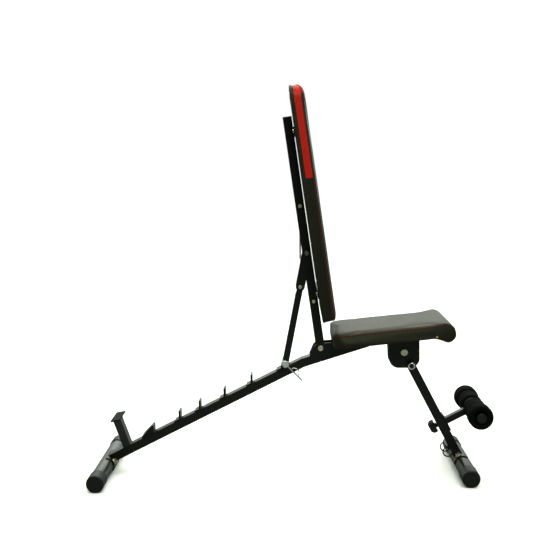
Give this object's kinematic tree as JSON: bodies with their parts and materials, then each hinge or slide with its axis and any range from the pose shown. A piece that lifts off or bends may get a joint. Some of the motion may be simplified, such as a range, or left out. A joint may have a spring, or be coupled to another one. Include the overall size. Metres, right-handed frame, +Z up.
{
  "type": "adjustable weight bench",
  "caption": "Foldable exercise bench: padded seat, reclining padded backrest held by a strut on a notched ladder, folding front leg with foam leg rollers and band rings.",
  "frame": {"origin": "on the floor, under the middle of the whole bench", "axes": "+X towards the seat's front end, +Y to the user's left when seated, +Z up"},
  "size_m": [1.2415, 0.406, 1.2115],
  "materials": {
    "frame_paint": "gloss black powder coat",
    "zinc_fastener": "yellow zinc plated",
    "bright_steel": "bright plated",
    "spring_steel": "dark oiled wire",
    "brass_screw": "brass plated",
    "black_ring": "black painted wire",
    "cap_plastic": "moulded black",
    "roller_foam": "soft black foam",
    "pad_vinyl": "grained black vinyl with red side panel",
    "board_wood": "plywood, black backing cloth"
  },
  "bodies": {
    "frame": {"main_tube": "frame_paint", "ladder_catches": "frame_paint", "pivot_plates": "frame_paint", "backrest_pivot_bolt": "zinc_fastener", "pivot_washers": "cap_plastic", "rear_post": "frame_paint", "rear_rest_plate": "frame_paint", "rear_stabiliser": "frame_paint", "rear_saddle": "frame_paint", "rear_saddle_bolts": "zinc_fastener", "rear_cap_left": "cap_plastic", "rear_cap_right": "cap_plastic", "seat_rail": "frame_paint", "seat_riser": "frame_paint", "seat_cross_bars": "frame_paint", "seat_board": "board_wood", "seat_pad": "pad_vinyl", "seat_screws": "zinc_fastener", "seat_side_screws": "brass_screw", "front_bracket": "frame_paint", "leg_pivot_bolt": "zinc_fastener", "pop_pin_barrel": "frame_paint", "pop_pin_spring": "spring_steel"},
    "pull_pin": {"pop_pin": "bright_steel"},
    "leg": {"front_leg": "frame_paint", "front_stabiliser": "frame_paint", "front_saddle": "frame_paint", "front_saddle_bolts": "zinc_fastener", "front_cap_left": "cap_plastic", "front_cap_right": "cap_plastic", "ring_tabs": "frame_paint", "arm_bracket": "frame_paint", "roller_arm": "frame_paint", "roller_hub": "cap_plastic", "roller_axle": "frame_paint", "axle_plugs": "cap_plastic"},
    "ring_left": {"band_ring_left": "black_ring"},
    "ring_right": {"band_ring_right": "black_ring"},
    "roller_left": {"roller_sleeve_left": "cap_plastic", "foam_roller_left": "roller_foam"},
    "roller_right": {"roller_sleeve_right": "cap_plastic", "foam_roller_right": "roller_foam"},
    "knob": {"arm_knob": "cap_plastic", "knob_stud": "zinc_fastener"},
    "backrest": {"backrest_tube": "frame_paint", "backrest_tube_plug": "cap_plastic", "backrest_mount_plates": "frame_paint", "backrest_screws": "zinc_fastener", "backrest_board": "board_wood", "backrest_pad": "pad_vinyl", "backrest_lower_bolt": "zinc_fastener", "spring_anchor_bolt": "zinc_fastener", "strut_pivot_bolt": "spring_steel", "assist_spring": "spring_steel"},
    "strut": {"strut_plates": "frame_paint", "strut_tube": "frame_paint", "strut_clamp_bolt": "zinc_fastener", "strut_bar": "bright_steel", "spring_hook_pin": "frame_paint"},
    "clip": {"hitch_clip": "bright_steel"}
  },
  "joints": [
    {"name": "backrest_recline", "type": "hinge", "parent": "frame", "child": "backrest", "pos_m": [0.1, 0, 0.402], "axis": [0, -1, 0], "range_deg": [0, 99.7]},
    {"name": "strut_swing", "type": "hinge", "parent": "backrest", "child": "strut", "pos_m": [0.05979, 0, 0.70333], "axis": [0, 1, 0], "range_deg": [0, 150.42], "deforming": ["assist_spring"]},
    {"name": "clip_pull", "type": "slide", "parent": "strut", "child": "clip", "axis": [0.6884, 0, -0.7254], "range_m": [0, 0.08]},
    {"name": "leg_fold", "type": "hinge", "parent": "frame", "child": "leg", "pos_m": [0.3628, 0, 0.3865], "axis": [0, 1, 0], "range_deg": [0, 95]},
    {"name": "pop_pin_pull", "type": "slide", "parent": "frame", "child": "pull_pin", "axis": [0, -1, 0], "range_m": [0, 0.01], "stiffness_N_per_m": 600, "springref_m": -0.003, "deforming": ["pop_pin_spring"]},
    {"name": "knob_turn", "type": "hinge", "parent": "leg", "child": "knob", "pos_m": [0.45654, 0, 0.13725], "axis": [-0.8904, 0, -0.4552], "continuous": true},
    {"name": "roller_left_spin", "type": "hinge", "parent": "leg", "child": "roller_left", "pos_m": [0.58422, 0.07, 0.20253], "axis": [0, 1, 0], "continuous": true},
    {"name": "roller_right_spin", "type": "hinge", "parent": "leg", "child": "roller_right", "pos_m": [0.58422, -0.07, 0.20253], "axis": [0, 1, 0], "continuous": true},
    {"name": "ring_left_swing", "type": "hinge", "parent": "leg", "child": "ring_left", "pos_m": [0.50152, 0.026, 0.07781], "axis": [1, 0, 0], "range_deg": [-4, 80]},
    {"name": "ring_right_swing", "type": "hinge", "parent": "leg", "child": "ring_right", "pos_m": [0.50152, -0.026, 0.07781], "axis": [-1, 0, 0], "range_deg": [-4, 80]}
  ],
  "couplings": [
    {"joint": "strut_swing", "follows": "backrest_recline", "ratio": 1.5058}
  ]
}
